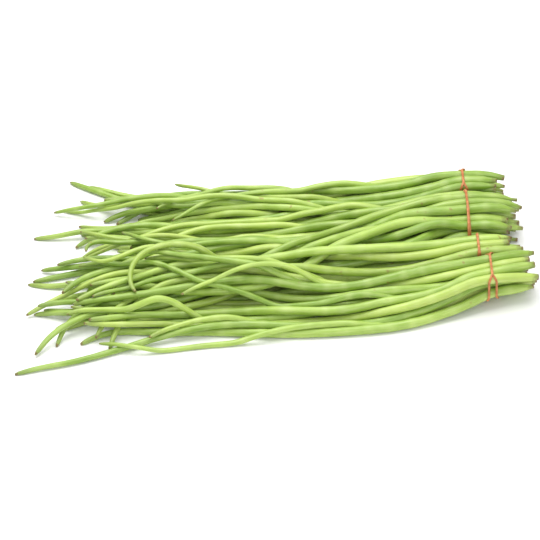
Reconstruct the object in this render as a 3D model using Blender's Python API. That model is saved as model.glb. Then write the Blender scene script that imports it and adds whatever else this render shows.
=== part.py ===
"""A heap of yardlong beans: four rubber-banded bundles that lie side by side.

Metres, +Z up. The pods lie along X, their stem ends at +X and their tips fanned out at -X, on the
floor z = 0. Each pod is one solid, from its cut stem to its tip, and each rubber band is one solid
that goes twice round its bundle. First the route of every pod is drawn in plan, from its place in
the tied bundle to its lane in the fan; then the pods are spaced, so that each rests on the floor or
on the pods below it and no two touch; then the tubes are made.
"""

import math
import random
from dataclasses import dataclass

import bpy
import numpy as np

MM = 0.001
TURN = 2.0 * math.pi
SEED = 7

# A pod is as many equal lengths, with rings between them. Its radius is a share of its body's: it
# tapers slowly along the body, and falls away near the cut stem and near the tip.
POD_RADIUS = 4.7 * MM
POD_RADIUS_SPREAD = 0.4 * MM
POD_LENGTHS = 20
BODY_END_SHARE = 0.62
TAPER_POWER = 1.5
STEM_RINGS = (5 * MM, 12 * MM)
STEM_AT = (0.0, 5 * MM, 12 * MM, 22 * MM)
STEM_SHARES = (0.50, 0.62, 0.92, 1.0)
TIP_RINGS = (15 * MM, 5 * MM)
TIP_AT = (0.0, 5 * MM, 15 * MM, 24 * MM)
TIP_SHARES = (0.28, 0.52, 0.82, 1.0)
TUBE_RESOLUTION = 1

# Room that faces keep between them, and how far the tied ends are lifted by the band below them.
GAP = 0.4 * MM
BAND_RADIUS = 0.9 * MM
BAND_RISE = 2 * BAND_RADIUS + GAP
BAND_LIFT = BAND_RISE + 0.1 * MM
BAND_ROOM = 2 * BAND_RISE + GAP

# The last length of a pod bulges over a straight taper: its room at the tip is as much wider.
TIP_ROOM = 2.2
LIFT_REACH = 22 * MM

# The line across the heap where the pods have reached their lanes in the fan.
FAN_X = -60 * MM
LAYER_RISE = 8.2 * MM
LAYERS = 3
LANE_MIXING = 9 * MM
LAYER_MIXING = 7 * MM

# How a pod's route wanders: its slope across the fan, its sway, its curl and its meander.
FAN_SLOPE = -0.35
FAN_SLOPE_SPREAD = 0.06
SWAY = (1 * MM, 4 * MM)
SWAY_LENGTH = (150 * MM, 260 * MM)
CURL_POWER = 1.5
MEANDER = (0.05, 0.34)
MEANDER_WAVES = (0.9, 1.9)
LANE_LOOSENESS = 1.5 * MM
LANE_JITTER = 0.3
ORDER_SPREAD = 0.9
ROUTE_STEP = 1 * MM

# The grid of places that a bundle's section is picked from.
SECTION_ROWS = 6
SECTION_COLUMNS = 8

# Spacing.
ROUNDS = 700
SETTLE_ROUNDS = 120
LAST_TOUCHES = 120
NEIGHBOUR_ROUNDS = 12
NEIGHBOUR_MARGIN = 5 * MM
SINK = 0.10 * MM
LANE_HOLD = 0.015
TIE_HOLD = 0.35
TIE_HOLD_LEFT = 0.2
BEND_HOLD = 0.30
RISE_BEND_HOLD = 0.45
ORDER_BIAS = 0.5 * MM
PUSH_FACTOR = 1.2
PARALLEL_SOFTNESS = 0.003
TOUCHES_A_ROUND = 2

BAND_TURN_POINTS = 22

POD_GREEN = (0.33, 0.52, 0.12)
POD_SHADE = (0.85, 1.15)
POD_ROUGHNESS = 0.45
BAND_ORANGE = (0.62, 0.26, 0.10)
BAND_ROUGHNESS = 0.55


@dataclass(frozen=True)
class Bundle:
    """One tied bundle: its place at the band, and the lanes and lengths of its pods."""

    name: str
    pods: int
    tie: tuple
    flatness: float
    heading: float
    lanes: tuple
    stem_reach: tuple
    length: tuple
    tip_turn: tuple
    strand_step: float


BUNDLES = (
    Bundle(
        name="back",
        pods=10,
        tie=(193 * MM, 80 * MM),
        flatness=1.0,
        heading=-0.02,
        lanes=(54 * MM, 104 * MM),
        stem_reach=(30 * MM, 46 * MM),
        length=(365 * MM, 440 * MM),
        tip_turn=(-0.75, 0.65),
        strand_step=10 * MM,
    ),
    Bundle(
        name="large",
        pods=24,
        tie=(193 * MM, 25 * MM),
        flatness=0.62,
        heading=0.02,
        lanes=(-78 * MM, 76 * MM),
        stem_reach=(38 * MM, 58 * MM),
        length=(390 * MM, 490 * MM),
        tip_turn=(-0.75, 1.35),
        strand_step=2.6 * MM,
    ),
    Bundle(
        name="middle",
        pods=10,
        tie=(199.5 * MM, -30 * MM),
        flatness=1.0,
        heading=0.03,
        lanes=(-76 * MM, 2 * MM),
        stem_reach=(28 * MM, 46 * MM),
        length=(420 * MM, 500 * MM),
        tip_turn=(-0.1, 1.55),
        strand_step=2.4 * MM,
    ),
    Bundle(
        name="front",
        pods=12,
        tie=(209 * MM, -72.5 * MM),
        flatness=0.95,
        heading=0.24,
        lanes=(-114 * MM, -46 * MM),
        stem_reach=(34 * MM, 46 * MM),
        length=(430 * MM, 520 * MM),
        tip_turn=(-0.5, 0.95),
        strand_step=11 * MM,
    ),
)


@dataclass
class Pod:
    """One pod: its sizes, the ends of its equal lengths, and its place in the laying order."""

    name: str
    bundle: Bundle
    length: float
    body_radius: float
    points: np.ndarray
    order: float

    def radii(self, along):
        """Returns the pod's radius at distances from its cut stem."""
        return radius_at(along, self.length, self.body_radius)

    def rings(self):
        """Returns the middle and the radius of every ring, from the cut stem to the tip."""
        even = np.linspace(0.0, self.length, POD_LENGTHS + 1)
        extra = list(STEM_RINGS) + [self.length - back for back in TIP_RINGS]
        along = np.sort(np.concatenate([even, extra]))
        return points_along(self.points, along / self.length), self.radii(along)


def clear_scene():
    """Removes whatever the open scene holds."""
    for thing in list(bpy.data.objects):
        bpy.data.objects.remove(thing, do_unlink=True)


def smooth_step(value):
    """Eases from 0 to 1 as value goes from 0 to 1."""
    value = min(1.0, max(0.0, value))
    return value * value * (3.0 - 2.0 * value)


def section_places(count, flatness, pitch):
    """Returns count (across, height) places of a close-packed bundle that lies on its band."""
    places = []
    for row in range(-SECTION_ROWS, SECTION_ROWS + 1):
        for column in range(-SECTION_COLUMNS, SECTION_COLUMNS + 1):
            across = (column + 0.5 * (row % 2)) * pitch
            up = row * pitch * math.sqrt(0.75)
            places.append((math.hypot(across * flatness, up), across, up))
    places = sorted(places)[:count]
    lowest = min(up for _, _, up in places)
    base = BAND_LIFT + POD_RADIUS + POD_RADIUS_SPREAD
    return [(across, base + up - lowest) for _, across, up in places]


def radius_at(along, length, body_radius):
    """Returns a pod's radius at distances from its cut stem."""
    body = 1.0 - (1.0 - BODY_END_SHARE) * (along / length) ** TAPER_POWER
    stem = np.interp(along, STEM_AT, STEM_SHARES)
    tip = np.interp(length - along, TIP_AT, TIP_SHARES)
    return body_radius * body * stem * tip


def draw_route(bundle, place, lane, layer, length, chance):
    """Draws one pod's route in small steps and returns its points at the pod's stations."""
    tie_x, tie_y = bundle.tie
    across, tied_z = place
    x = tie_x + chance.uniform(*bundle.stem_reach)
    lane_slope = FAN_SLOPE * (lane - tie_y) / (tie_x - FAN_X)
    lane_slope += chance.uniform(-FAN_SLOPE_SPREAD, FAN_SLOPE_SPREAD)
    turn = chance.uniform(*bundle.tip_turn)
    meander = chance.uniform(*MEANDER)
    waves = chance.uniform(*MEANDER_WAVES)
    meander_phase = chance.uniform(0.0, TURN)
    sway = chance.uniform(*SWAY)
    sway_length = chance.uniform(*SWAY_LENGTH)
    sway_phase = chance.uniform(0.0, TURN)
    lane_z = POD_RADIUS + layer * LAYER_RISE + chance.uniform(0.0, LANE_LOOSENESS)

    def plan_y(at_x):
        ease = smooth_step((tie_x - at_x) / (tie_x - FAN_X))
        tied = tie_y + across + bundle.heading * (at_x - tie_x)
        fanned = lane + lane_slope * (at_x - FAN_X)
        wave = sway * math.sin(TURN * at_x / sway_length + sway_phase)
        return (1.0 - ease) * tied + ease * (fanned + wave)

    def fan_turn(share):
        swing = math.sin(TURN * waves * share + meander_phase) - math.sin(meander_phase)
        return turn * share**CURL_POWER + meander * share * swing

    step = ROUTE_STEP
    y = plan_y(x)
    route = [(x, y, tied_z)]
    travelled = 0.0
    heading = 0.0
    fan_start = None
    while travelled < length:
        if x > FAN_X:
            heading = math.atan2(plan_y(x) - plan_y(x - step), step)
        else:
            if fan_start is None:
                fan_start = travelled
                fan_heading = heading
            share = (travelled - fan_start) / (length - fan_start)
            heading = fan_heading + fan_turn(share)
        x -= step * math.cos(heading)
        y -= step * math.sin(heading)
        travelled += step
        ease = smooth_step((tie_x - x) / (tie_x - FAN_X))
        route.append((x, y, (1.0 - ease) * tied_z + ease * lane_z))
    return points_along(np.array(route), np.linspace(0.0, 1.0, POD_LENGTHS + 1))


def points_along(route, shares):
    """Returns the points of a route at these shares of its length."""
    steps = np.sqrt(((route[1:] - route[:-1]) ** 2).sum(axis=1))
    travelled = np.concatenate([[0.0], np.cumsum(steps)])
    wanted = np.asarray(shares) * travelled[-1]
    return np.stack([np.interp(wanted, travelled, route[:, axis]) for axis in range(3)], axis=1)


def lanes_for(bundle, places, chance):
    """Gives each place in the bundle a layer, by height, and a lane in it, mostly in order."""
    by_height = sorted(range(bundle.pods), key=lambda k: (places[k][1], places[k][0]))
    low, high = bundle.lanes
    lane_of = {}
    for layer in range(LAYERS):
        members = [
            k for rank, k in enumerate(by_height) if rank * LAYERS // bundle.pods == layer
        ]
        mixing = LANE_MIXING + layer * LAYER_MIXING
        members.sort(key=lambda k: places[k][0] + chance.uniform(-mixing, mixing))
        for rank, k in enumerate(members):
            share = (rank + 0.5 + chance.uniform(-LANE_JITTER, LANE_JITTER)) / len(members)
            lane_of[k] = (low + share * (high - low), layer)
    return lane_of


def plan_bundle(bundle, chance):
    """Plans every pod of a bundle."""
    pitch = 2.0 * POD_RADIUS + POD_RADIUS_SPREAD + GAP
    places = section_places(bundle.pods, bundle.flatness, pitch)
    lane_of = lanes_for(bundle, places, chance)
    pods = []
    for k, place in enumerate(places):
        lane, layer = lane_of[k]
        length = chance.uniform(*bundle.length)
        body_radius = POD_RADIUS + chance.uniform(-1.0, 1.0) * POD_RADIUS_SPREAD
        points = draw_route(bundle, place, lane, layer, length, chance)
        name = f"{bundle.name}_pod_{k + 1:02d}"
        order = layer + chance.uniform(0.0, ORDER_SPREAD)
        pods.append(Pod(name, bundle, length, body_radius, points, order))
    return pods


class Spacing:
    """Moves planned pods apart, bit by bit, until each lies on what is below it."""

    def __init__(self, pods):
        self.points = np.stack([pod.points for pod in pods])
        self.plan = self.points.copy()
        self.radii = self.even_radii(pods)
        self.radii[:, 0] = self.radii[:, 1]
        self.radii[:, -1] *= TIP_ROOM
        self.order = np.array([pod.order for pod in pods])
        self.lengths = np.sqrt(((self.plan[:, 1:] - self.plan[:, :-1]) ** 2).sum(axis=2))
        self.bends = self.bend_of(self.plan)
        self.bends[:, :, 2] = 0.0
        tie_x = np.array([pod.bundle.tie[0] for pod in pods])[:, None]
        from_tie = np.abs(self.plan[:, :, 0] - tie_x)
        self.hold = np.where(from_tie < LIFT_REACH, TIE_HOLD, LANE_HOLD)
        self.tied = from_tie < LIFT_REACH
        self.floor = self.even_radii(pods) + np.where(self.tied, BAND_LIFT, 0.0)
        self.bundle = np.array([BUNDLES.index(pod.bundle) for pod in pods])
        self.tie_low = min(bundle.tie[0] - bundle.strand_step for bundle in BUNDLES)
        self.tie_high = max(bundle.tie[0] + bundle.strand_step for bundle in BUNDLES)
        count, size = self.radii.shape
        first = np.arange(count)[:, None] * size + np.arange(size - 1)[None, :]
        self.first = first.ravel()
        self.owner = np.repeat(np.arange(count), size - 1)
        self.pairs = None

    @staticmethod
    def even_radii(pods):
        """Returns each pod's radius at the ends of its equal lengths."""
        shares = np.linspace(0.0, 1.0, POD_LENGTHS + 1)
        return np.stack([pod.radii(shares * pod.length) for pod in pods])

    @staticmethod
    def bend_of(points):
        """Returns how far each inner point stands from the middle of its two neighbours."""
        return points[:, 1:-1] - 0.5 * (points[:, :-2] + points[:, 2:])

    def find_neighbours(self):
        """Lists the pairs of lengths, on different pods, that are near enough to touch."""
        flat = self.points.reshape(-1, 3)
        start = flat[self.first]
        end = flat[self.first + 1]
        middle = 0.5 * (start + end)
        half = 0.5 * np.sqrt(((end - start) ** 2).sum(axis=1))
        reach = half + self.radii.ravel()[self.first] + 0.5 * (GAP + NEIGHBOUR_MARGIN)
        order = np.argsort(middle[:, 0], kind="stable")
        along = middle[order, 0]
        limit = 2.0 * reach.max()
        ends = np.searchsorted(along, along + limit)
        firsts = []
        seconds = []
        for k in range(len(order)):
            others = order[k + 1 : ends[k]]
            firsts.append(np.full(len(others), order[k]))
            seconds.append(others)
        one = np.concatenate(firsts)
        two = np.concatenate(seconds)
        apart = ((middle[one] - middle[two]) ** 2).sum(axis=1)
        near = apart < (reach[one] + reach[two]) ** 2
        near &= self.owner[one] != self.owner[two]
        self.pairs = (one[near], two[near])

    def touch(self):
        """Pushes apart the lengths that are closer than their radii and the gap."""
        one, two = self.pairs
        flat = self.points.reshape(-1, 3)
        radii = self.radii.ravel()
        a0, b0 = self.first[one], self.first[two]
        a1, b1 = a0 + 1, b0 + 1
        u = flat[a1] - flat[a0]
        v = flat[b1] - flat[b0]
        w = flat[a0] - flat[b0]
        uu, vv, uv = (u * u).sum(1), (v * v).sum(1), (u * v).sum(1)
        uw, vw = (u * w).sum(1), (v * w).sum(1)
        soft = PARALLEL_SOFTNESS * uu * vv
        s = np.clip((uv * vw - uw * vv + 0.5 * soft) / (uu * vv - uv * uv + soft), 0.0, 1.0)
        t = (uv * s + vw) / vv
        low, high = t < 0.0, t > 1.0
        s = np.where(low, np.clip(-uw / uu, 0.0, 1.0), s)
        s = np.where(high, np.clip((uv - uw) / uu, 0.0, 1.0), s)
        t = np.clip(t, 0.0, 1.0)
        apart = w + s[:, None] * u - t[:, None] * v
        lean = np.sign(self.order[self.owner[one]] - self.order[self.owner[two]])
        aim = apart.copy()
        aim[:, 2] += ORDER_BIAS * lean
        size = np.sqrt((apart * apart).sum(1))
        wanted = radii[a0] * (1 - s) + radii[a1] * s + radii[b0] * (1 - t) + radii[b1] * t + GAP
        at_x = flat[a0, 0] + s * u[:, 0]
        other = self.bundle[self.owner[one]] != self.bundle[self.owner[two]]
        tied = other & (at_x > self.tie_low) & (at_x < self.tie_high)
        wanted = wanted + np.where(tied, BAND_ROOM, 0.0)
        short = wanted - size
        hit = short > 0.0
        aim_size = np.sqrt((aim * aim).sum(1)) + 1e-9
        share = (1 - s) ** 2 + s**2 + (1 - t) ** 2 + t**2
        push = (short / share)[:, None] * aim / aim_size[:, None]
        moves = np.zeros_like(flat)
        counts = np.zeros(len(flat))
        for index, weight in ((a0, 1 - s), (a1, s), (b0, t - 1), (b1, -t)):
            move = (weight[:, None] * push)[hit]
            for axis in range(3):
                moves[:, axis] += np.bincount(index[hit], move[:, axis], len(flat))
            counts += np.bincount(index[hit], np.abs(weight[hit]), len(flat))
        flat += moves / np.maximum(counts, 1.0)[:, None] * PUSH_FACTOR
        self.points = flat.reshape(self.points.shape)
        return float(short[hit].max()) if hit.any() else 0.0

    def keep_lengths(self):
        """Brings each length between two stations back to what the pod has."""
        for parity in (0, 1):
            start = self.points[:, parity:-1:2]
            end = self.points[:, parity + 1 :: 2]
            start = start[:, : end.shape[1]]
            step = end - start
            size = np.sqrt((step**2).sum(axis=2))
            rest = self.lengths[:, parity::2][:, : size.shape[1]]
            move = step * (0.5 * (size - rest) / size)[:, :, None]
            self.points[:, parity:-1:2][:, : size.shape[1]] += move
            self.points[:, parity + 1 :: 2][:, : size.shape[1]] -= move

    def keep_bends(self, share):
        """Eases each pod towards its planned curve in plan, and towards straight in height."""
        change = self.bends - self.bend_of(self.points)
        change[:, :, :2] *= BEND_HOLD * share
        change[:, :, 2] *= RISE_BEND_HOLD * share
        self.points[:, 1:-1] += change
        self.points[:, :-2] -= 0.5 * change
        self.points[:, 2:] -= 0.5 * change

    def keep_lanes(self, share):
        """Draws each pod towards its lane, and its tied end towards its place in the bundle."""
        share = np.where(self.tied, max(share, TIE_HOLD_LEFT), share)
        pull = (self.plan - self.points) * (self.hold * share)[:, :, None]
        pull[:, :, 2] = np.where(self.tied, pull[:, :, 2], 0.0)
        self.points += pull

    def keep_off_floor(self):
        """Lifts what has sunk below the floor."""
        self.points[:, :, 2] = np.maximum(self.points[:, :, 2], self.floor)

    def run(self):
        """Spaces the pods, and returns how far the closest pair is short of its gap."""
        for turn in range(ROUNDS + SETTLE_ROUNDS):
            share = max(0.0, 1.0 - turn / ROUNDS)
            if turn % NEIGHBOUR_ROUNDS == 0:
                self.find_neighbours()
            self.points[:, :, 2] -= SINK * min(1.0, 2.0 * share)
            self.keep_lanes(share)
            self.keep_bends(share)
            self.keep_lengths()
            for _ in range(TOUCHES_A_ROUND):
                self.touch()
                self.keep_off_floor()
        self.find_neighbours()
        for _ in range(LAST_TOUCHES):
            left = self.touch()
            self.keep_off_floor()
        return left


def space_pods(pods):
    """Spaces the planned pods and writes their new points into them."""
    spacing = Spacing(pods)
    left = spacing.run()
    print(f"the closest pair of pods is {left / MM:.4f} mm short of its gap")
    for pod, points in zip(pods, spacing.points):
        pod.points = points


def section_at(pod, x):
    """Returns (y, z, radius) of the cut through a pod, however it slants, in the plane at x."""
    along = pod.points[::-1, 0]
    y, z = (np.interp(x, along, pod.points[::-1, axis]) for axis in (1, 2))
    ahead, up = (np.interp(x + MM, along, pod.points[::-1, axis]) for axis in (1, 2))
    slant = math.sqrt(1.0 + ((ahead - y) ** 2 + (up - z) ** 2) / MM**2)
    return float(y), float(z), slant * pod.body_radius


def band_route(bundle, pods):
    """Returns the closed route of a band that goes twice round its bundle and over itself once."""
    route = []
    for k in range(2 * BAND_TURN_POINTS):
        angle = TURN * k / BAND_TURN_POINTS
        over = BAND_RISE * max(0.0, math.sin(0.5 * angle)) ** 2
        aim = angle - 0.5 * math.pi
        x = bundle.tie[0] + 0.5 * bundle.strand_step * math.cos(0.5 * angle)
        circles = [section_at(pod, x) for pod in pods]
        y, z = support_point(circles, aim, GAP + BAND_RADIUS + over)
        route.append((x, y, z))
    return route


def support_point(circles, aim, clearance):
    """Returns the point of the hull round the circles whose outward direction is aim."""
    across, up = math.cos(aim), math.sin(aim)
    y, z, radius = max(circles, key=lambda c: c[0] * across + c[1] * up + c[2])
    return y + (radius + clearance) * across, z + (radius + clearance) * up


def make_material(name, colour, roughness):
    """Makes a plain surface of one colour."""
    material = bpy.data.materials.new(name)
    material.use_nodes = True
    surface = material.node_tree.nodes["Principled BSDF"]
    surface.inputs["Base Color"].default_value = (*colour, 1.0)
    surface.inputs["Roughness"].default_value = roughness
    surface.inputs["Metallic"].default_value = 0.0
    material.diffuse_color = (*colour, 1.0)
    return material


def make_tube(collection, name, route, shares, depth, closed, material):
    """Makes a round tube along a route, as thick at each point as its share of the depth."""
    curve = bpy.data.curves.new(name, "CURVE")
    curve.dimensions = "3D"
    curve.bevel_depth = depth
    curve.bevel_resolution = TUBE_RESOLUTION
    curve.use_fill_caps = not closed
    line = curve.splines.new("POLY")
    line.points.add(len(route) - 1)
    line.use_cyclic_u = closed
    for point, place, share in zip(line.points, route, shares):
        point.co = (*place, 1.0)
        point.radius = share
    curve.materials.append(material)
    tube = bpy.data.objects.new(name, curve)
    collection.objects.link(tube)
    return tube


def make_pod(collection, pod, chance):
    """Makes one pod, in a green of its own."""
    shade = chance.uniform(*POD_SHADE)
    green = make_material(pod.name, [shade * part for part in POD_GREEN], POD_ROUGHNESS)
    route, radii = pod.rings()
    return make_tube(collection, pod.name, route, radii / POD_RADIUS, POD_RADIUS, False, green)


def make_band(collection, bundle, pods):
    """Makes the rubber band of one bundle."""
    name = f"{bundle.name}_rubber_band"
    rubber = make_material(name, BAND_ORANGE, BAND_ROUGHNESS)
    route = band_route(bundle, pods)
    shares = [1.0] * len(route)
    return make_tube(collection, name, route, shares, BAND_RADIUS, True, rubber)


def centre_on_floor(collection, tubes):
    """Hangs the tubes on one empty, so that the middle of the heap's underside is the origin."""
    depsgraph = bpy.context.evaluated_depsgraph_get()
    surfaces = [bpy.data.meshes.new_from_object(tube.evaluated_get(depsgraph)) for tube in tubes]
    corners = np.array([vertex.co for surface in surfaces for vertex in surface.vertices])
    low, high = corners.min(axis=0), corners.max(axis=0)
    for surface in surfaces:
        bpy.data.meshes.remove(surface)
    heap = bpy.data.objects.new("yardlong_bean_bunch", None)
    heap.location = (-0.5 * (low[0] + high[0]), -0.5 * (low[1] + high[1]), -low[2])
    collection.objects.link(heap)
    for tube in tubes:
        tube.parent = heap


def main():
    """Builds the whole heap."""
    clear_scene()
    collection = bpy.data.collections.new("yardlong_bean_bunch")
    bpy.context.scene.collection.children.link(collection)
    chance = random.Random(SEED)
    pods = [pod for bundle in BUNDLES for pod in plan_bundle(bundle, chance)]
    space_pods(pods)
    tubes = [make_pod(collection, pod, chance) for pod in pods]
    for bundle in BUNDLES:
        tied = [pod for pod in pods if pod.bundle is bundle]
        tubes.append(make_band(collection, bundle, tied))
    centre_on_floor(collection, tubes)


main()
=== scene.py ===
"""Looks of a heap of yardlong beans: four rubber-banded bundles lying together, tips fanned out.

Each bean pod and each rubber band is remodelled in fine detail along the middle line of its plain
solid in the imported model, and takes that solid's place. Metres, +Z up; the stem ends are at +X.
"""

import logging
import math
import random
from collections.abc import Iterator
from dataclasses import dataclass, field
from enum import Enum
from typing import ClassVar

import bmesh
import bpy
import numpy as np
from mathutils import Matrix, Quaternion, Vector


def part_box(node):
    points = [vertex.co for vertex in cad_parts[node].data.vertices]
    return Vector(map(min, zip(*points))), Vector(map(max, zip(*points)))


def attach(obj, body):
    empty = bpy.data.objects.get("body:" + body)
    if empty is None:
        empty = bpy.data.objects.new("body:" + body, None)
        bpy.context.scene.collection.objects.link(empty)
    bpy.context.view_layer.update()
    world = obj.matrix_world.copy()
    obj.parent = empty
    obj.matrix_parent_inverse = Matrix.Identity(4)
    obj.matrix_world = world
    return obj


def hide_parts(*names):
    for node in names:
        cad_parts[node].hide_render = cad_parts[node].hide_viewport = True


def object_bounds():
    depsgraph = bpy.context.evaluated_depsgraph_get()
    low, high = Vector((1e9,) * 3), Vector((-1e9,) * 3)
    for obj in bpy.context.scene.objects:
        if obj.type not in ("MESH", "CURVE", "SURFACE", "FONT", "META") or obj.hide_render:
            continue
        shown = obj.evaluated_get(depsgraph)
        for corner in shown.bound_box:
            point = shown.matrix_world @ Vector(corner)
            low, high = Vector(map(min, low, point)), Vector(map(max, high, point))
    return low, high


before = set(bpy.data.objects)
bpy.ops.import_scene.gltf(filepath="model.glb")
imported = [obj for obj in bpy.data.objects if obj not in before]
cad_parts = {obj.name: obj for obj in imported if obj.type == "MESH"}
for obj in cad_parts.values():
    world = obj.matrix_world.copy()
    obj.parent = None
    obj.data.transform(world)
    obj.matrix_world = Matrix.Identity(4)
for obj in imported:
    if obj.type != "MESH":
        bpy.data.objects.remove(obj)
CAD_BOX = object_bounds()

MM = 0.001
MERGE = 1e-6              # corners closer than this are one corner
SEED = 11
TURN = 2.0 * math.pi
LOG = logging.getLogger("bean_heap")
Feed = bpy.types.NodeSocket | float | tuple    # what a shader input can be given


def smooth_line(points: np.ndarray, count: int) -> np.ndarray:
    """Runs a natural cubic spline through evenly spaced points.

    Args:
        points: the points to pass through, one row each.
        count: how many points the finished line has.

    Returns:
        The finished line, one row a point.
    """
    last = len(points) - 1
    slopes = np.zeros_like(points)
    weights = np.zeros(last)
    for k in range(1, last):
        step = points[k - 1] - 2.0 * points[k] + points[k + 1]
        share = 4.0 - weights[k - 1]
        weights[k] = 1.0 / share
        slopes[k] = (6.0 * step - slopes[k - 1]) / share
    for k in range(last - 1, 0, -1):
        slopes[k] -= weights[k] * slopes[k + 1]
    place = np.linspace(0.0, last, count)
    low = np.minimum(place.astype(int), last - 1)
    b = (place - low)[:, None]
    a = 1.0 - b
    bend = ((a**3 - a) * slopes[low] + (b**3 - b) * slopes[low + 1]) / 6.0
    return a * points[low] + b * points[low + 1] + bend


def unit_rows(rows: np.ndarray) -> np.ndarray:
    """Scales every row of an array to length one."""
    return rows / np.sqrt((rows * rows).sum(axis=1))[:, None]


def carried_frames(line: np.ndarray, start: np.ndarray) -> tuple:
    """Carries a pair of cross directions along a line without twisting them.

    Args:
        line: the line's points.
        start: a direction that the first cross direction is taken from.

    Returns:
        The two cross directions, one row a point.
    """
    tangents = unit_rows(np.gradient(line, axis=0))
    side = np.empty_like(line)
    current = start
    for k, tangent in enumerate(tangents):
        current = current - tangent * (current @ tangent)
        current = current / math.sqrt(current @ current)
        side[k] = current
    return side, np.cross(tangents, side)


@dataclass
class Spine:
    """A pod's middle line and thickness.

    Attributes:
        points: the middle of each ring, from stem to tip.
        radii: the radius of each ring.
        end_rings: extra rings close to either end, which the even points leave out.
        INNER_EDGES: the edges that meet at a corner of a plain pod, away from its ends.
        FLAT: the greatest angle between two faces of the same flat cap.
    """

    points: np.ndarray
    radii: np.ndarray
    end_rings: int = 2

    INNER_EDGES: ClassVar[int] = 6
    FLAT: ClassVar[float] = 0.02

    @classmethod
    def of_node(cls, name: str) -> "Spine":
        """Reads the rings of a plain pod.

        Args:
            name: the pod's node.

        Returns:
            The pod's middle line and radii.
        """
        shell = bmesh.new()
        shell.from_mesh(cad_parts[name].data)
        bmesh.ops.remove_doubles(shell, verts=shell.verts, dist=MERGE)
        shell.verts.index_update()
        rings = cls.rings_of(shell)
        centres = np.array([np.mean([v.co for v in ring], axis=0) for ring in rings])
        radii = np.array(
            [np.mean([(v.co - Vector(c)).length for v in ring]) for ring, c in zip(rings, centres)]
        )
        shell.free()
        return cls(centres, radii)

    @classmethod
    def rings_of(cls, shell: bmesh.types.BMesh) -> list:
        """Walks a tube ring by ring from its stem end and returns the rings' vertices."""
        ring = cls.cap_of(shell)
        rings = []
        seen = set()
        while ring:
            rings.append(sorted(ring, key=lambda v: v.index))
            seen |= ring
            ring = {e.other_vert(v) for v in ring for e in v.link_edges} - seen
        return rings

    @classmethod
    def cap_of(cls, shell: bmesh.types.BMesh) -> set:
        """Returns the corners of the flat cap at a tube's stem end."""
        shell.normal_update()
        ends = [v for v in shell.verts if len(v.link_edges) < cls.INNER_EDGES]
        start = max(ends, key=lambda v: v.co.x)
        middle = Vector(np.mean([v.co for v in shell.verts], axis=0))
        outward = (start.co - middle).normalized()
        face = max(start.link_faces, key=lambda f: f.normal.dot(outward))
        flat = {face}
        waiting = [face]
        while waiting:
            for edge in waiting.pop().edges:
                for other in edge.link_faces:
                    if other not in flat and edge.calc_face_angle() < cls.FLAT:
                        flat.add(other)
                        waiting.append(other)
        return {v for f in flat for v in f.verts}

    @classmethod
    def laid(cls, points: np.ndarray, radii: np.ndarray) -> "Spine":
        """Makes a spine of evenly spaced points, which stand for themselves."""
        return cls(points, radii, end_rings=0)

    def even_points(self) -> np.ndarray:
        """Returns the points of the pod's equal lengths, without the extra rings at its ends."""
        inner = self.points[self.end_rings + 1 : len(self.points) - self.end_rings - 1]
        return np.concatenate([self.points[:1], inner, self.points[-1:]])

    def fine_line(self, count: int) -> tuple:
        """Returns a smooth line of count points and the plain radius at each of them."""
        line = smooth_line(self.even_points(), count)
        steps = np.sqrt(((self.points[1:] - self.points[:-1]) ** 2).sum(axis=1))
        travelled = np.concatenate([[0.0], np.cumsum(steps)])
        share = np.linspace(0.0, 1.0, count)
        return line, np.interp(share * travelled[-1], travelled, self.radii)


class StemEnd(Enum):
    """How a pod's tied end was left when it was picked."""

    CAPPED = "with its cap and a stub of stalk"
    CUT = "cut clean through the neck"
    STALKED = "with a longer piece of thin stalk"


STEM_PROFILES = {
    StemEnd.CAPPED: ((0.0, 0.42), (2.0, 0.46), (3.6, 0.50), (5.0, 0.66), (6.6, 0.60), (9.0, 0.72),
                     (14.0, 0.93), (22.0, 1.0)),
    StemEnd.CUT: ((0.0, 0.66), (1.2, 0.72), (4.0, 0.74), (9.0, 0.86), (15.0, 0.97), (22.0, 1.0)),
    StemEnd.STALKED: ((0.0, 0.44), (1.2, 0.40), (6.5, 0.36), (9.0, 0.50), (10.5, 0.60),
                      (13.0, 0.72), (18.0, 0.93), (24.0, 1.0)),
}
TIP_PROFILE = ((0.0, 0.26), (0.8, 0.42), (2.0, 0.56), (4.5, 0.70), (9.0, 0.80), (18.0, 0.87),
               (45.0, 0.94), (100.0, 1.0))


def profile(pairs: tuple, distance: np.ndarray) -> np.ndarray:
    """Reads a profile of (millimetres, share) pairs at distances in metres, with eased corners.

    Args:
        pairs: the profile's corners.
        distance: where to read it.

    Returns:
        The share at each distance.
    """
    at, share = np.array(pairs).T
    ease = 0.5 * MM
    spread = [np.interp(distance + k * ease, at * MM, share) for k in (-2, -1, 0, 1, 2)]
    return np.mean(spread, axis=0)


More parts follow.
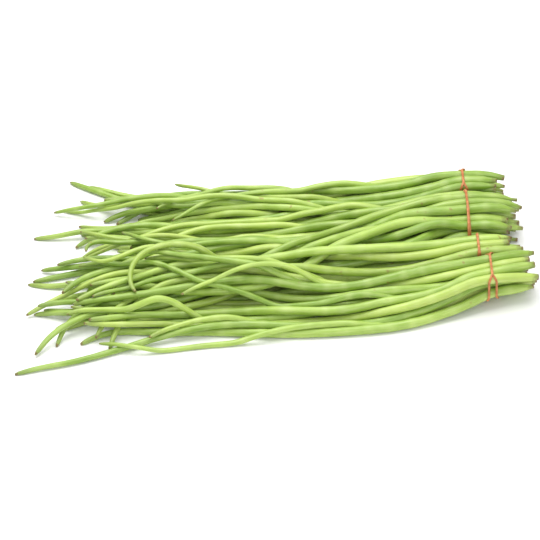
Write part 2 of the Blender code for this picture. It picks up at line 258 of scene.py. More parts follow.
@dataclass
class BeanPod:
    """One yardlong bean, from its cut stem to its beaked tip.

    Attributes:
        name: the pod's name.
        spine: its middle line and plain radii.
        chance: the source of its own irregularities.
        rings: rings along the pod.
        sides: corners round a ring.
        seed_pitch: least and greatest distance between two seeds.
        seed_swell: how far a seed swells the pod, as a share of its radius.
        oval: how far the section is from round.
        seam: depth of the seam down the pod's inner side, as a share of its radius.
        seam_spread: how wide the inner and the outer seam are, in radians.
        seed_rest: the skin's level between two seeds, as a share of the radius.
        seed_width: least and greatest half width of a seed's swelling, in millimetres.
        first_seed: least distance from the stem end to the first seed.
        first_spread: how much further the first seed may be, in millimetres.
        last_seed: least distance from the last seed to the tip.
        clean_end: the stretch at either end whose plain radius isn't the body's.
        twist: the greatest turn of the seams, in radians over twist_length.
        twist_length: the length that the twist is given for.
        ripple: the height of the skin's long ripples, as a share of the radius.
    """

    name: str
    spine: Spine
    chance: random.Random
    rings: int = 170
    sides: int = 18
    seed_pitch: tuple = (16 * MM, 25 * MM)
    seed_swell: tuple = (0.015, 0.055)
    oval: float = 0.04
    seam: float = 0.05
    seam_spread: tuple = (0.32, 0.26)
    seed_rest: float = -0.012
    seed_width: tuple = (5.0, 7.0)
    first_seed: float = 26 * MM
    first_spread: float = 8.0
    last_seed: float = 22 * MM
    clean_end: float = 30 * MM
    twist: float = 2.5
    twist_length: float = 0.3
    ripple: float = 0.006

    def build(self) -> bpy.types.Object:
        """Makes the pod and returns its object."""
        line, radii = self.spine.fine_line(self.rings)
        steps = np.sqrt(((line[1:] - line[:-1]) ** 2).sum(axis=1))
        from_stem = np.concatenate([[0.0], np.cumsum(steps)])
        from_tip = from_stem[-1] - from_stem
        body = self.body_radius(radii, from_stem, from_tip)
        ending = self.chance.choices(list(StemEnd), weights=(5, 3, 2))[0]
        body = body * profile(STEM_PROFILES[ending], from_stem)
        body = body * profile(TIP_PROFILE, from_tip)
        swell = self.seed_swelling(from_stem)
        mesh = tube_mesh(self.name + "_pod", self.rings, self.sides)
        ring, angle = ring_and_angle(mesh, self.rings)
        section = self.section(angle, from_stem[ring])
        reach = body[ring] * (1.0 + swell[ring]) * section
        side, up = carried_frames(line, np.array([0.0, 0.0, 1.0]))
        place = line[ring] + reach[:, None] * (
            np.cos(angle)[:, None] * side[ring] + np.sin(angle)[:, None] * up[ring]
        )
        mesh.vertices.foreach_set("co", place.ravel())
        self.mark(mesh, from_stem[ring], from_tip[ring], angle, swell[ring])
        mesh.update()
        mesh.shade_smooth()
        pod = bpy.data.objects.new(self.name + "_skin", mesh)
        bpy.context.scene.collection.objects.link(pod)
        return pod

    def body_radius(
        self, radii: np.ndarray, from_stem: np.ndarray, from_tip: np.ndarray
    ) -> np.ndarray:
        """Returns the radius of the pod's body, as if it had no neck and no tip."""
        inside = (from_stem > self.clean_end) & (from_tip > self.clean_end)
        return np.interp(from_stem, from_stem[inside], radii[inside])

    def seed_swelling(self, from_stem: np.ndarray) -> np.ndarray:
        """Works out how far the seeds swell the pod.

        Args:
            from_stem: each ring's distance from the stem end.

        Returns:
            The swelling at each ring, as a share of the radius.
        """
        swell = np.full_like(from_stem, self.seed_rest)
        at = self.first_seed + self.chance.uniform(0.0, self.first_spread) * MM
        while at < from_stem[-1] - self.last_seed:
            width = self.chance.uniform(*self.seed_width) * MM
            size = self.chance.uniform(*self.seed_swell)
            swell += size * np.exp(-(((from_stem - at) / width) ** 2))
            at += self.chance.uniform(*self.seed_pitch)
        return swell

    def section(self, angle: np.ndarray, along: np.ndarray) -> np.ndarray:
        """Shapes the pod's section: slightly oval, with a seam on either side.

        Args:
            angle: each point's angle round its ring.
            along: its distance from the stem end.

        Returns:
            Each point's reach, as a share of the radius.
        """
        start = self.chance.uniform(0.0, TURN)
        twist = self.chance.uniform(-self.twist, self.twist)
        facing = angle - start - twist * along / self.twist_length
        inner_spread, outer_spread = self.seam_spread
        inner = np.exp(-((np.remainder(facing + math.pi, TURN) - math.pi) / inner_spread) ** 2)
        outer = np.exp(-((np.remainder(facing, TURN) - math.pi) / outer_spread) ** 2)
        winding = self.ripple * np.cos(5.0 * facing + 40.0 * along)
        ripple = winding + self.ripple * np.cos(3.0 * angle - 90.0 * along)
        oval = 1.0 + self.oval * np.cos(2.0 * facing)
        return oval - self.seam * inner - 0.5 * self.seam * outer + ripple

    def mark(
        self,
        mesh: bpy.types.Mesh,
        stem: np.ndarray,
        tip: np.ndarray,
        angle: np.ndarray,
        swell: np.ndarray,
    ) -> None:
        """Stores what the skin's colour follows.

        Args:
            mesh: the pod's mesh.
            stem: each corner's distance from the stem end.
            tip: its distance from the tip.
            angle: its angle round the pod.
            swell: the swelling there.
        """
        place = np.stack([stem, tip, angle / TURN], axis=1)
        stored = mesh.attributes.new("pod_place", "FLOAT_VECTOR", "POINT")
        stored.data.foreach_set("vector", place.ravel())
        tone = np.full(len(stem), self.chance.random())
        yellow = np.full(len(stem), self.chance.random())
        for name, values in (("pod_swell", swell), ("pod_tone", tone), ("pod_yellow", yellow)):
            stored = mesh.attributes.new(name, "FLOAT", "POINT")
            stored.data.foreach_set("value", values)


@dataclass
class HeapTop:
    """The height of the heap's upper surface, cell by cell, for the pods laid on it last.

    Attributes:
        cell: the size of a cell.
        margin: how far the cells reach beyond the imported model's box.
    """

    cell: float = 1.0 * MM
    margin: float = 30.0 * MM

    def __post_init__(self) -> None:
        """Starts with the bare floor."""
        low, high = CAD_BOX
        self.corner = np.array([low[0] - self.margin, low[1] - self.margin])
        size = np.array([high[0] - low[0], high[1] - low[1]]) + 2.0 * self.margin
        self.height = np.zeros(np.ceil(size / self.cell).astype(int))

    def cells_under(self, line: np.ndarray, radii: np.ndarray) -> Iterator[tuple]:
        """Lists the cells under a pod.

        Args:
            line: the pod's middle line.
            radii: its radius at each point.

        Yields:
            For each offset across the pod: which points are within the pod, their cells'
            numbers, and the pod's half height there.
        """
        reach = int(radii.max() / self.cell) + 1
        middle = (line[:, :2] - self.corner) / self.cell
        for dx in range(-reach, reach + 1):
            for dy in range(-reach, reach + 1):
                left = radii**2 - (dx * dx + dy * dy) * self.cell**2
                inside = left > 0.0
                place = np.rint(middle).astype(int) + (dx, dy)
                inside &= (place >= 0).all(axis=1) & (place < self.height.shape).all(axis=1)
                yield inside, tuple(place[inside].T), np.sqrt(left[inside])

    def add(self, line: np.ndarray, radii: np.ndarray) -> None:
        """Raises the surface to a pod's upper side."""
        for inside, cells, half in self.cells_under(line, radii):
            np.maximum.at(self.height, cells, line[inside, 2] + half)

    def rest(self, line: np.ndarray, radii: np.ndarray) -> np.ndarray:
        """Returns the lowest height at which each point of a pod clears the surface."""
        lowest = radii.copy()
        for inside, cells, half in self.cells_under(line, radii):
            lowest[inside] = np.maximum(lowest[inside], self.height[cells] + half)
        return lowest


@dataclass(frozen=True)
class Groove:
    """The groove between two neighbouring pods on top of the heap.

    Attributes:
        path: its points in plan, from its covered end to where a loose pod comes out.
        height: the mean height of the two pods' middle lines along it.
    """

    path: np.ndarray
    height: np.ndarray


@dataclass(frozen=True)
class Wandering:
    """How a set of loose pods lies.

    Attributes:
        name: what the set is called.
        count: how many pods are laid.
        out_x: least and greatest place along the heap where a pod comes out of its groove.
        tip_x: least and greatest place along the heap where a straight pod's tip would be.
        turn: least and greatest curl towards the tip, in radians; above 0 it curls to the front.
        meander: least and greatest swing of the heading, in radians.
        side: the part of the heap's width that the grooves are taken from.
    """

    name: str
    count: int
    out_x: tuple
    tip_x: tuple
    turn: tuple
    meander: tuple
    side: tuple = (0.0, 1.0)


WANDERINGS = (
    Wandering("long", 16, (-70 * MM, 80 * MM), (-235 * MM, -90 * MM), (-0.7, 0.9), (0.10, 0.45)),
    Wandering("tips", 16, (-130 * MM, -40 * MM), (-262 * MM, -165 * MM), (-0.6, 1.6), (0.15, 0.60)),
    Wandering("front", 8, (-150 * MM, -60 * MM), (-255 * MM, -190 * MM), (0.4, 2.0), (0.1, 0.5),
              side=(0.0, 0.5)),
    Wandering("back", 7, (-120 * MM, -10 * MM), (-225 * MM, -120 * MM), (-1.0, 0.5), (0.2, 0.6),
              side=(0.7, 1.0)),
)


@dataclass
class LoosePods:
    """Pods that come up from between the others and wander over the fan of tips.

    Attributes:
        top: the heap's upper surface.
        spines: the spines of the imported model's pods.
        dive: how long a stretch sinks between its two neighbours.
        sunk: how far its covered end lies below the middles of its neighbours.
        sag: how sharply a pod's own weight bends it, in 1/m.
        step: distance between the points of a path.
        radius: least and greatest radius of a pod's body.
        end_share: the radius that is left at the tip, as a share of the body's.
        lean: how far its course may stray from straight, in radians.
        tries: paths drawn before a pod is given up.
        taper_power: how late the pod thins, as a power of the place along it.
        covered_share: the covered end's radius, as a share of what it would be in the open.
        room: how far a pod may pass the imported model's box.
        stations: points along a pod when it is added to the heap's surface.
        every: path points from one point of the spine to the next.
        ease_reach: points on either side that a height is eased over.
        ease_spread: how far the easing spreads, in points.
        past: how far a groove's two pods go on past the place where a loose pod comes out.
        groove_width: greatest distance across between the middles of a groove's two pods.
        groove_step: greatest difference between their heights.
        cover: how far above a pod something counts as lying on it.
        open_share: the share of a stretch that has to be open.
        heading_points: path points that a pod's first heading is taken over.
        shortest: the least length of a pod in the open.
        wave: least and greatest length of a meander.
        settle: how soon a pod's own course takes over from its groove's.
        curl_power: how late the curl comes, as a power of the place along the pod.
        chance: the source of the path in hand.
    """

    top: HeapTop
    spines: list
    dive: float = 70.0 * MM
    sunk: float = 6.5 * MM
    sag: float = 6.0
    step: float = 2.0 * MM
    radius: tuple = (3.0 * MM, 4.0 * MM)
    end_share: float = 0.62
    lean: float = 0.22
    tries: int = 80
    taper_power: float = 1.3
    covered_share: float = 0.7
    room: tuple = (2.0 * MM, 2.0 * MM, 4.0 * MM)
    stations: int = 400
    every: int = 4
    ease_reach: int = 9
    ease_spread: float = 3.5
    past: float = 5.0 * MM
    groove_width: float = 17.0 * MM
    groove_step: float = 9.0 * MM
    cover: float = 1.5 * MM
    open_share: float = 0.80
    heading_points: int = 8
    shortest: float = 70.0 * MM
    wave: tuple = (90.0 * MM, 190.0 * MM)
    settle: float = 3.0
    curl_power: float = 1.7
    chance: random.Random = field(init=False)

    def lay(self) -> list:
        """Lays the pods one after another and returns their spines."""
        laid = []
        for wandering in WANDERINGS:
            for number in range(wandering.count):
                spine = self.laid_one(wandering, f"{wandering.name} {number}")
                if spine is not None:
                    laid.append(spine)
                    self.top.add(*spine.fine_line(self.stations))
        return laid

    def laid_one(self, wandering: Wandering, name: str) -> Spine | None:
        """Draws paths until one lies well. Each try has a source of its own.

        Args:
            wandering: how the pod is to lie.
            name: a name for the pod, which its paths are drawn from.

        Returns:
            The pod's spine, or None when no try lay well.
        """
        for attempt in range(self.tries):
            self.chance = random.Random(f"{SEED} {name} {attempt}")
            groove = self.groove(wandering)
            if groove is not None:
                spine = self.let_down(groove, self.path(groove, wandering))
                if self.fits(spine):
                    return spine
        return None

    def fits(self, spine: Spine) -> bool:
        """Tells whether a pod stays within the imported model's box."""
        low, high = (np.array(corner) for corner in CAD_BOX)
        reach = spine.radii[:, None]
        room = np.array(self.room)
        inside = (spine.points - reach > low - room) & (spine.points + reach < high + room)
        return bool(inside.all())

    def let_down(self, groove: Groove, path: np.ndarray) -> Spine:
        """Lets a path down on the heap, its covered end between the groove's two pods.

        Args:
            groove: where the pod comes out.
            path: its path in plan, whose heights are filled in.

        Returns:
            The pod's spine.
        """
        along = np.linspace(0.0, 1.0, len(path))
        body = self.chance.uniform(*self.radius)
        radii = body * (1.0 - (1.0 - self.end_share) * along**self.taper_power)
        need = self.top.rest(path, radii)
        place = np.arange(len(path)) * self.step
        fall = self.sag * (place[:, None] - place[None, :]) ** 2
        on_top = self.eased(np.maximum((need[None, :] - fall).max(axis=1), radii))
        within = np.interp(place, place[: len(groove.height)], groove.height) - self.sunk
        out = np.clip(place / self.dive, 0.0, 1.0)
        out = out * out * (3.0 - 2.0 * out)
        path[:, 2] = np.maximum(out * on_top + (1.0 - out) * within, radii)
        radii = radii * (self.covered_share + (1.0 - self.covered_share) * out)
        return Spine.laid(path[:: self.every], radii[:: self.every])

    def eased(self, height: np.ndarray) -> np.ndarray:
        """Rounds the corners of a height profile."""
        reach = self.ease_reach
        spread = np.exp(-0.5 * (np.arange(-reach, reach + 1) / self.ease_spread) ** 2)
        padded = np.pad(height, reach, mode="edge")
        return np.convolve(padded, spread / spread.sum(), mode="valid")

    def groove(self, wandering: Wandering) -> Groove | None:
        """Finds an open groove between two neighbouring pods on top of the heap.

        Args:
            wandering: where along and across the heap to look.

        Returns:
            The groove, or None when none is open.
        """
        x = self.chance.uniform(*wandering.out_x)
        ahead = np.arange(x + self.dive, x, -self.step)
        lines = []
        for spine in self.spines:
            along = spine.points[::-1, 0]
            if along[0] < x - self.past and along[-1] > x + self.dive:
                y, z = (np.interp(ahead, along, spine.points[::-1, axis]) for axis in (1, 2))
                radius = np.interp(ahead, along, spine.radii[::-1])
                lines.append((y, z, radius))
        open_ones = [line for line in lines if self.is_open(ahead, line)]
        open_ones.sort(key=lambda line: line[0][-1])
        grooves = []
        for one, two in zip(open_ones, open_ones[1:]):
            across, rise = np.abs(one[0] - two[0]).max(), np.abs(one[1] - two[1]).max()
            if across < self.groove_width and rise < self.groove_step:
                y, z = 0.5 * (one[0] + two[0]), 0.5 * (one[1] + two[1])
                if self.is_open(ahead, (y, z, self.radius[1])):
                    path = np.stack([ahead, y, np.zeros_like(y)], axis=1)
                    grooves.append(Groove(path, z))
        if not grooves:
            return None
        first, last = (int(share * len(grooves)) for share in wandering.side)
        return self.chance.choice(grooves[first:last] or grooves)

    def is_open(self, ahead: np.ndarray, line: tuple) -> bool:
        """Tells whether a pod lies open along a stretch.

        Args:
            ahead: the stretch's places along the heap.
            line: the pod's places across it, its heights and its radius.

        Returns:
            Whether nothing lies on most of it.
        """
        y, z, radius = line
        cells = (np.stack([ahead, y], axis=1) - self.top.corner) / self.top.cell
        over = self.top.height[tuple(np.rint(cells).astype(int).T)]
        return bool((over < z + radius + self.cover).mean() > self.open_share)

    def path(self, groove: Groove, wandering: Wandering) -> np.ndarray:
        """Draws a path in plan, which curls and meanders more and more towards the tip.

        Args:
            groove: where the pod comes out.
            wandering: how far and how much it wanders.

        Returns:
            The path's points, all at height 0.
        """
        start, before = groove.path[-1], groove.path[-self.heading_points]
        length = max(start[0] - self.chance.uniform(*wandering.tip_x), self.shortest)
        heading = math.atan2(before[1] - start[1], before[0] - start[0])
        lean = self.chance.uniform(-self.lean, self.lean)
        turn = self.chance.uniform(*wandering.turn)
        meander = self.chance.uniform(*wandering.meander)
        waves = length / self.chance.uniform(*self.wave)
        phase = self.chance.uniform(0.0, TURN)
        points = [tuple(point) for point in groove.path]
        x, y = start[0], start[1]
        count = int(length / self.step)
        for k in range(count):
            share = (k + 1) / count
            ease = min(1.0, self.settle * share)
            swing = meander * share * (math.sin(TURN * waves * share + phase) - math.sin(phase))
            now = heading * (1.0 - ease) + lean * ease + turn * share**self.curl_power + swing
            x -= self.step * math.cos(now)
            y -= self.step * math.sin(now)
            points.append((x, y, 0.0))
        return np.array(points)


def tube_mesh(name: str, rings: int, sides: int, capped: bool = True) -> bpy.types.Mesh:
    """Makes a straight tube of radius one and length one, with evenly spaced rings.

    Args:
        name: the mesh's name.
        rings: rings along the tube, its two ends among them.
        sides: corners round a ring.
        capped: whether its ends are closed.

    Returns:
        The mesh, whose rings are then moved into place.
    """
    tube = bmesh.new()
    bmesh.ops.create_cone(
        tube, cap_ends=capped, segments=sides, radius1=1.0, radius2=1.0, depth=1.0
    )
    lengthwise = [e for e in tube.edges if abs(e.verts[0].co.z - e.verts[1].co.z) > 0.5]
    bmesh.ops.subdivide_edges(tube, edges=lengthwise, cuts=rings - 2, use_grid_fill=True)
    mesh = bpy.data.meshes.new(name)
    tube.to_mesh(mesh)
    tube.free()
    return mesh


def ring_and_angle(mesh: bpy.types.Mesh, rings: int) -> tuple:
    """Reads where each vertex of a straight tube is.

    Args:
        mesh: the tube.
        rings: how many rings it has.

    Returns:
        Each vertex's ring number, and its angle round the ring.
    """
    places = np.empty(len(mesh.vertices) * 3, np.float32)
    mesh.vertices.foreach_get("co", places)
    places = places.reshape(-1, 3).astype(float)
    ring = np.rint((0.5 - places[:, 2]) * (rings - 1)).astype(int)
    angle = np.remainder(np.arctan2(places[:, 1], places[:, 0]), TURN)
    return ring, angle


@dataclass
class RubberBand:
    """A rubber band that goes twice round a bundle and crosses over itself on top.

    Attributes:
        name: the node that it stands for.
        spines: the spines of the pods that it ties.
        width: the strip's width, along the pods.
        thickness: the strip's thickness.
        clearance: the gap between the strip and the pods.
        turn_points: points in one turn.
        sides: corners round the strip's section.
        plain: the width of the plain band, which its box along the pods includes.
        lap_gap: the gap where one turn crosses over the other.
        squareness: how square the section is across and through; 1 is an ellipse, less is squarer.
    """

    name: str
    spines: list
    width: float = 2.3 * MM
    thickness: float = 0.95 * MM
    clearance: float = 0.2 * MM
    turn_points: int = 110
    sides: int = 12
    plain: float = 1.8 * MM
    lap_gap: float = 0.15 * MM
    squareness: tuple = (0.45, 0.6)

    def build(self) -> bpy.types.Object:
        """Makes the band and returns its object."""
        line, outward = self.route()
        count = len(line)
        mesh = tube_mesh(self.name + "_strip", count + 1, self.sides, capped=False)
        ring, angle = ring_and_angle(mesh, count + 1)
        ring = ring % count
        tangents = unit_rows(np.roll(line, -1, axis=0) - np.roll(line, 1, axis=0))
        outward = unit_rows(outward - tangents * (outward * tangents).sum(axis=1)[:, None])
        across = np.cross(tangents, outward)
        wide_power, thick_power = self.squareness
        wide = np.sign(np.cos(angle)) * np.abs(np.cos(angle)) ** wide_power * 0.5 * self.width
        thick = np.sign(np.sin(angle)) * np.abs(np.sin(angle)) ** thick_power * 0.5 * self.thickness
        place = line[ring] + wide[:, None] * across[ring] + thick[:, None] * outward[ring]
        mesh.vertices.foreach_set("co", place.ravel())
        mesh.update()
        joined = bmesh.new()
        joined.from_mesh(mesh)
        bmesh.ops.remove_doubles(joined, verts=joined.verts, dist=MERGE)
        bmesh.ops.recalc_face_normals(joined, faces=joined.faces)
        joined.to_mesh(mesh)
        joined.free()
        mesh.shade_smooth()
        band = bpy.data.objects.new(self.name + "_strip", mesh)
        bpy.context.scene.collection.objects.link(band)
        return band

    def route(self) -> tuple:
        """Returns the band's middle line and the outward direction at each of its points."""
        low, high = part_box(self.name)
        middle = 0.5 * (low[0] + high[0])
        step = max(high[0] - low[0] - self.plain, self.width)
        line = []
        outward = []
        rise = self.thickness + self.lap_gap
        for k in range(2 * self.turn_points):
            angle = TURN * k / self.turn_points
            over = rise * max(0.0, math.sin(0.5 * angle)) ** 2
            x = middle + 0.5 * step * math.cos(0.5 * angle)
            aim = angle - 0.5 * math.pi
            direction = np.array([0.0, math.cos(aim), math.sin(aim)])
            corner = max(
                (self.section(s, x) for s in self.spines), key=lambda c: c[0] @ direction + c[1]
            )
            reach = corner[1] + self.clearance + 0.5 * self.thickness + over
            line.append(corner[0] + reach * direction)
            outward.append(direction)
        return self.evened(np.array(line), np.array(outward))

    def section(self, spine: Spine, x: float) -> tuple:
        """Returns the middle and the radius of a pod where it passes through the plane at x."""
        along = spine.points[::-1, 0]
        y = np.interp(x, along, spine.points[::-1, 1])
        z = np.interp(x, along, spine.points[::-1, 2])
        return np.array([x, y, z]), np.interp(x, along, spine.radii[::-1])

    def evened(self, line: np.ndarray, outward: np.ndarray) -> tuple:
        """Spaces a closed line's points evenly, so that straight runs have points too.

        Args:
            line: the line's points.
            outward: the outward direction at each.

        Returns:
            As many points and directions, evenly spaced.
        """
        closed = np.concatenate([line, line[:1]])
        facing = np.concatenate([outward, outward[:1]])
        steps = np.sqrt(((closed[1:] - closed[:-1]) ** 2).sum(axis=1))
        travelled = np.concatenate([[0.0], np.cumsum(steps)])
        wanted = np.linspace(0.0, travelled[-1], len(line), endpoint=False)
        even = [np.stack([np.interp(wanted, travelled, rows[:, a]) for a in range(3)], axis=1)
                for rows in (closed, facing)]
        return even[0], even[1]


class NodeSheet:
    """A material's node tree, with short ways to add nodes and join them."""

    def __init__(self, name: str) -> None:
        """Starts a material of this name with an empty Principled surface."""
        self.material = bpy.data.materials.new(name)
        self.material.use_nodes = True
        self.tree = self.material.node_tree
        self.surface = self.tree.nodes["Principled BSDF"]

    def add(self, kind: str, **settings: object) -> bpy.types.Node:
        """Adds a shader node of this kind and sets its properties."""
        node = self.tree.nodes.new("ShaderNode" + kind)
        for key, value in settings.items():
            setattr(node, key, value)
        return node

    def join(self, output: bpy.types.NodeSocket, target: bpy.types.NodeSocket) -> None:
        """Joins an output to an input."""
        self.tree.links.new(output, target)

    def attribute(self, name: str, vector: bool = False) -> bpy.types.NodeSocket:
        """Returns the value, or the vector, that the mesh stores under this name."""
        node = self.add("Attribute", attribute_name=name)
        return node.outputs["Vector" if vector else "Fac"]

    def math(self, operation: str, *values: Feed, clamp: bool = False) -> bpy.types.NodeSocket:
        """Returns a sum, product or the like of sockets and numbers."""
        node = self.add("Math", operation=operation, use_clamp=clamp)
        for socket, value in zip(node.inputs, values):
            self.feed(value, socket)
        return node.outputs[0]

    def feed(self, value: Feed, socket: bpy.types.NodeSocket) -> None:
        """Gives an input a number, a colour or another node's output."""
        if isinstance(value, bpy.types.NodeSocket):
            self.join(value, socket)
        else:
            socket.default_value = value

    def ease(
        self, value: Feed, low: float, high: float, start: float = 0.0, end: float = 1.0
    ) -> bpy.types.NodeSocket:
        """Changes smoothly from one number to another as a value grows.

        Args:
            value: the value to follow.
            low: where the change starts.
            high: where it ends.
            start: the number below low.
            end: the number above high.

        Returns:
            The number as an output.
        """
        node = self.add("MapRange", interpolation_type="SMOOTHSTEP")
        for name, given in (("Value", value), ("From Min", low), ("From Max", high),
                            ("To Min", start), ("To Max", end)):
            self.feed(given, node.inputs[name])
        return node.outputs["Result"]

    def mix(self, share: Feed, first: Feed, second: Feed) -> bpy.types.NodeSocket:
        """Returns a mix of two colours."""
        node = self.add("Mix", data_type="RGBA")
        self.feed(share, node.inputs[0])
        self.feed(first, node.inputs[6])
        self.feed(second, node.inputs[7])
        return node.outputs[2]

    def noise(
        self, vector: bpy.types.NodeSocket, scale: float, detail: float = 2.0
    ) -> bpy.types.NodeSocket:
        """Returns a soft random value between 0 and 1."""
        node = self.add("TexNoise")
        self.join(vector, node.inputs["Vector"])
        node.inputs["Scale"].default_value = scale
        node.inputs["Detail"].default_value = detail
        return node.outputs["Fac"]

    def object_place(self) -> bpy.types.NodeSocket:
        """Returns the place on the piece, in metres."""
        return self.add("TexCoord").outputs["Object"]

    def bump(self, height: bpy.types.NodeSocket, strength: float, distance: float) -> None:
        """Roughens the surface's shading by a height."""
        node = self.add("Bump")
        node.inputs["Strength"].default_value = strength
        node.inputs["Distance"].default_value = distance
        self.join(height, node.inputs["Height"])
        self.join(node.outputs["Normal"], self.surface.inputs["Normal"])


@dataclass(frozen=True)
class PodSkin:
    """The skin of a fresh yardlong bean: satin green, lighter over the seeds, brown at its ends."""

    deep: tuple = (0.190, 0.335, 0.022, 1.0)
    light: tuple = (0.400, 0.560, 0.095, 1.0)
    yellow: tuple = (0.480, 0.580, 0.110, 1.0)
    pale: tuple = (0.620, 0.720, 0.300, 1.0)
    stalk: tuple = (0.210, 0.240, 0.060, 1.0)
    cut: tuple = (0.200, 0.110, 0.045, 1.0)
    tip: tuple = (0.210, 0.290, 0.060, 1.0)
    scar: tuple = (0.260, 0.130, 0.040, 1.0)
    roughness: float = 0.42

    def material(self) -> bpy.types.Material:
        """Builds the skin's material."""
        sheet = NodeSheet("bean_pod_skin")
        place = sheet.object_place()
        along = sheet.add("SeparateXYZ")
        sheet.join(sheet.attribute("pod_place", vector=True), along.inputs[0])
        from_stem, from_tip = along.outputs[0], along.outputs[1]
        colour = self.body_colour(sheet, place)
        streaks = self.streaks(sheet)
        colour = sheet.mix(sheet.ease(streaks, 0.35, 0.8, 0.0, 0.36), colour, self.pale)
        colour = self.scars(sheet, colour, place)
        colour = self.ends(sheet, colour, place, from_stem, from_tip)
        surface = sheet.surface
        sheet.join(colour, surface.inputs["Base Color"])
        dull, satin = self.roughness + 0.10, self.roughness - 0.07
        shine = sheet.ease(sheet.noise(place, 240.0), 0.3, 0.7, satin, dull)
        sheet.join(shine, surface.inputs["Roughness"])
        surface.inputs["Subsurface Weight"].default_value = 0.18
        surface.inputs["Subsurface Radius"].default_value = (0.8, 1.0, 0.3)
        surface.inputs["Subsurface Scale"].default_value = 2.0 * MM
        surface.inputs["Coat Weight"].default_value = 0.20
        surface.inputs["Coat Roughness"].default_value = 0.35
        grain = sheet.math("MULTIPLY", sheet.noise(place, 900.0), 0.5)
        wrinkles = sheet.math("ADD", streaks, grain)
        sheet.bump(wrinkles, 0.25, 0.35 * MM)
        return sheet.material

    def body_colour(self, sheet: NodeSheet, place: bpy.types.NodeSocket) -> bpy.types.NodeSocket:
        """Returns the green of the body: the pod's own tone, mottled, and lighter over seeds."""
        tone = sheet.ease(sheet.attribute("pod_tone"), 0.0, 1.0, 0.05, 0.85)
        mottle = sheet.ease(sheet.noise(place, 38.0, 3.0), 0.3, 0.7, -0.22, 0.22)
        tone = sheet.math("ADD", tone, mottle, clamp=True)
        green = sheet.mix(tone, self.deep, self.light)
        yellow = sheet.ease(sheet.attribute("pod_yellow"), 0.35, 1.0, 0.0, 0.50)
        green = sheet.mix(yellow, green, self.yellow)
        swollen = sheet.ease(sheet.attribute("pod_swell"), 0.0, 0.05, 0.0, 0.22)
        return sheet.mix(swollen, green, self.pale)

    def streaks(self, sheet: NodeSheet) -> bpy.types.NodeSocket:
        """Returns fine streaks that run the length of the pod."""
        stretch = sheet.add("Mapping")
        stretch.inputs["Scale"].default_value = (26.0, 26.0, 9.0)
        sheet.join(sheet.attribute("pod_place", vector=True), stretch.inputs["Vector"])
        return sheet.noise(stretch.outputs["Vector"], 1.0, 3.0)

    def scars(
        self, sheet: NodeSheet, colour: bpy.types.NodeSocket, place: bpy.types.NodeSocket
    ) -> bpy.types.NodeSocket:
        """Adds a few small brown rub marks."""
        speck = sheet.noise(place, 150.0, 1.0)
        patch = sheet.noise(place, 14.0, 1.0)
        both = sheet.math("MULTIPLY", sheet.ease(speck, 0.68, 0.76), sheet.ease(patch, 0.58, 0.70))
        return sheet.mix(sheet.math("MULTIPLY", both, 0.55), colour, self.scar)

    def ends(
        self,
        sheet: NodeSheet,
        colour: bpy.types.NodeSocket,
        place: bpy.types.NodeSocket,
        from_stem: bpy.types.NodeSocket,
        from_tip: bpy.types.NodeSocket,
    ) -> bpy.types.NodeSocket:
        """Browns the stalk and its cut, and darkens the tip.

        Args:
            sheet: the skin's node tree.
            colour: the skin's colour so far.
            place: the place on the piece.
            from_stem: the distance from the stem end.
            from_tip: the distance from the tip.

        Returns:
            The colour with both ends darkened.
        """
        ragged = sheet.ease(sheet.noise(place, 420.0), 0.3, 0.7, -1.6 * MM, 1.6 * MM)
        stem = sheet.math("ADD", from_stem, ragged)
        tip = sheet.math("ADD", from_tip, ragged)
        colour = sheet.mix(sheet.ease(stem, 3.0 * MM, 8.0 * MM, 0.7, 0.0), colour, self.stalk)
        colour = sheet.mix(sheet.ease(stem, 0.2 * MM, 2.4 * MM, 0.9, 0.0), colour, self.cut)
        colour = sheet.mix(sheet.ease(tip, 4.0 * MM, 22.0 * MM, 0.6, 0.0), colour, self.tip)
        return sheet.mix(sheet.ease(tip, 0.5 * MM, 3.0 * MM, 0.85, 0.0), colour, self.cut)


@dataclass(frozen=True)
class BandRubber:
    """Orange-brown natural rubber, slightly see-through, with a dusty bloom."""

    colour: tuple = (0.430, 0.140, 0.036, 1.0)
    worn: tuple = (0.620, 0.250, 0.090, 1.0)
    roughness: float = 0.5

    def material(self) -> bpy.types.Material:
        """Builds the rubber's material."""
        sheet = NodeSheet("band_rubber")
        place = sheet.object_place()
        bloom = sheet.noise(place, 260.0, 3.0)
        colour = sheet.mix(sheet.ease(bloom, 0.35, 0.7), self.colour, self.worn)
        sheet.join(colour, sheet.surface.inputs["Base Color"])
        sheet.join(sheet.ease(bloom, 0.3, 0.7, self.roughness - 0.1, self.roughness + 0.15),
                   sheet.surface.inputs["Roughness"])
        sheet.surface.inputs["Subsurface Weight"].default_value = 0.15
        sheet.surface.inputs["Subsurface Scale"].default_value = 1.0 * MM
        sheet.bump(bloom, 0.2, 0.15 * MM)
        return sheet.material


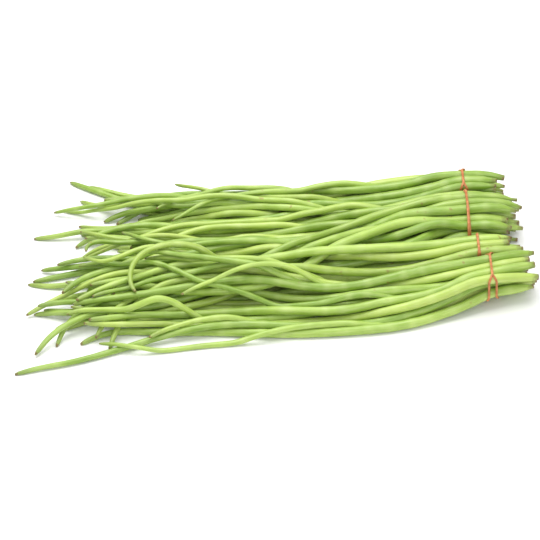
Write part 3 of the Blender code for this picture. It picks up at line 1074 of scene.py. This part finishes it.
@dataclass
class BeanHeap:
    """The four tied bundles.

    Attributes:
        bundles: the bundles' names, which begin their nodes' names.
        stations: points along a pod when the heap's upper surface is taken.
    """

    bundles: tuple = ("back", "large", "middle", "front")
    stations: int = 500

    def build(self) -> None:
        """Builds every pod and band, and dresses them."""
        skin = PodSkin().material()
        rubber = BandRubber().material()
        top = HeapTop()
        spines = []
        for bundle in self.bundles:
            names = sorted(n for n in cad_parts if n.startswith(bundle + "_pod_"))
            tied = [Spine.of_node(name) for name in names]
            for name, spine in zip(names, tied):
                self.place(self.pod(name, spine), skin, "pod", name)
                top.add(*spine.fine_line(self.stations))
            band_name = bundle + "_rubber_band"
            band = RubberBand(band_name, tied).build()
            self.place(band, rubber, "rubber_band", band_name)
            spines += tied
        loose = LoosePods(top, spines).lay()
        for number, spine in enumerate(loose):
            self.place(self.pod(f"loose_pod_{number + 1:02d}", spine), skin, "pod")

    def pod(self, name: str, spine: Spine) -> bpy.types.Object:
        """Makes a pod, whose irregularities depend on its name alone."""
        return BeanPod(name, spine, random.Random(f"{SEED} {name}")).build()

    def place(
        self, piece: bpy.types.Object, finish: bpy.types.Material, slot: str, node: str = ""
    ) -> None:
        """Gives a piece its finish and, where there is one, its plain solid's place."""
        piece.data.materials.append(finish)
        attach(piece, "root")
        if node:
            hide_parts(node)
        LOG.info("%s: %d faces", piece.name, len(piece.data.polygons))


@dataclass
class Studio:
    """A pale floor, soft light from above and a camera that looks down on the heap's front.

    Attributes:
        elevation: the camera's angle above the floor, in degrees.
        distance: the camera's distance from what it aims at.
        lens: the camera's focal length, in millimetres.
        roll: how far the camera is turned about its own axis, in degrees.
        aim_offset: where the camera aims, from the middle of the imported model's box.
        floor_reach: half the floor's side.
        floor_tone: the floor's grey.
        room_light: the strength of the light from all round.
    """

    elevation: float = 38.0
    distance: float = 3.0
    lens: float = 199.0
    roll: float = -2.6
    aim_offset: tuple = (-0.006, 0.0, -0.032)
    floor_reach: float = 6.0
    floor_tone: float = 0.93
    room_light: float = 0.55

    def build(self) -> None:
        """Sets the floor, the lights, the world and the camera."""
        self.floor()
        self.light("top_softbox", (-0.15, 0.30, 1.5), 1.5, 30.0)
        self.light("front_fill", (0.5, -1.5, 1.2), 1.6, 12.0)
        self.world()
        self.camera()
        bpy.context.scene.view_settings.view_transform = "Standard"

    def floor(self) -> None:
        """Lays a large pale floor at z = 0."""
        sheet = bmesh.new()
        bmesh.ops.create_grid(sheet, x_segments=1, y_segments=1, size=self.floor_reach)
        mesh = bpy.data.meshes.new("floor")
        sheet.to_mesh(mesh)
        sheet.free()
        floor = bpy.data.objects.new("floor", mesh)
        bpy.context.scene.collection.objects.link(floor)
        paint = NodeSheet("floor_paint")
        paint.surface.inputs["Base Color"].default_value = (*[self.floor_tone] * 3, 1.0)
        paint.surface.inputs["Roughness"].default_value = 0.9
        mesh.materials.append(paint.material)

    def light(self, name: str, place: tuple, size: float, power: float) -> None:
        """Hangs a square soft light that faces the heap."""
        lamp = bpy.data.lights.new(name, "AREA")
        lamp.size = size
        lamp.energy = power
        holder = bpy.data.objects.new(name, lamp)
        holder.location = place
        holder.rotation_euler = (-Vector(place)).to_track_quat("-Z", "Y").to_euler()
        bpy.context.scene.collection.objects.link(holder)

    def world(self) -> None:
        """Gives the room an even white light."""
        world = bpy.data.worlds.new("studio")
        world.use_nodes = True
        backdrop = world.node_tree.nodes["Background"]
        backdrop.inputs["Color"].default_value = (1.0, 1.0, 1.0, 1.0)
        backdrop.inputs["Strength"].default_value = self.room_light
        bpy.context.scene.world = world

    def camera(self) -> None:
        """Puts the camera in front of the heap and above it."""
        low, high = CAD_BOX
        target = 0.5 * (low + high) + Vector(self.aim_offset)
        rise = math.radians(self.elevation)
        back = Vector((0.0, -math.cos(rise), math.sin(rise)))
        lens = bpy.data.cameras.new("camera")
        lens.lens = self.lens
        camera = bpy.data.objects.new("camera", lens)
        camera.location = target + back * self.distance
        roll = Quaternion((0.0, 0.0, 1.0), math.radians(self.roll))
        camera.rotation_euler = ((-back).to_track_quat("-Z", "Y") @ roll).to_euler()
        bpy.context.scene.collection.objects.link(camera)
        bpy.context.scene.camera = camera


def main() -> None:
    """Builds the heap and its studio."""
    logging.basicConfig(level=logging.INFO, format="%(message)s")
    BeanHeap().build()
    Studio().build()


if __name__ == "__main__":
    main()
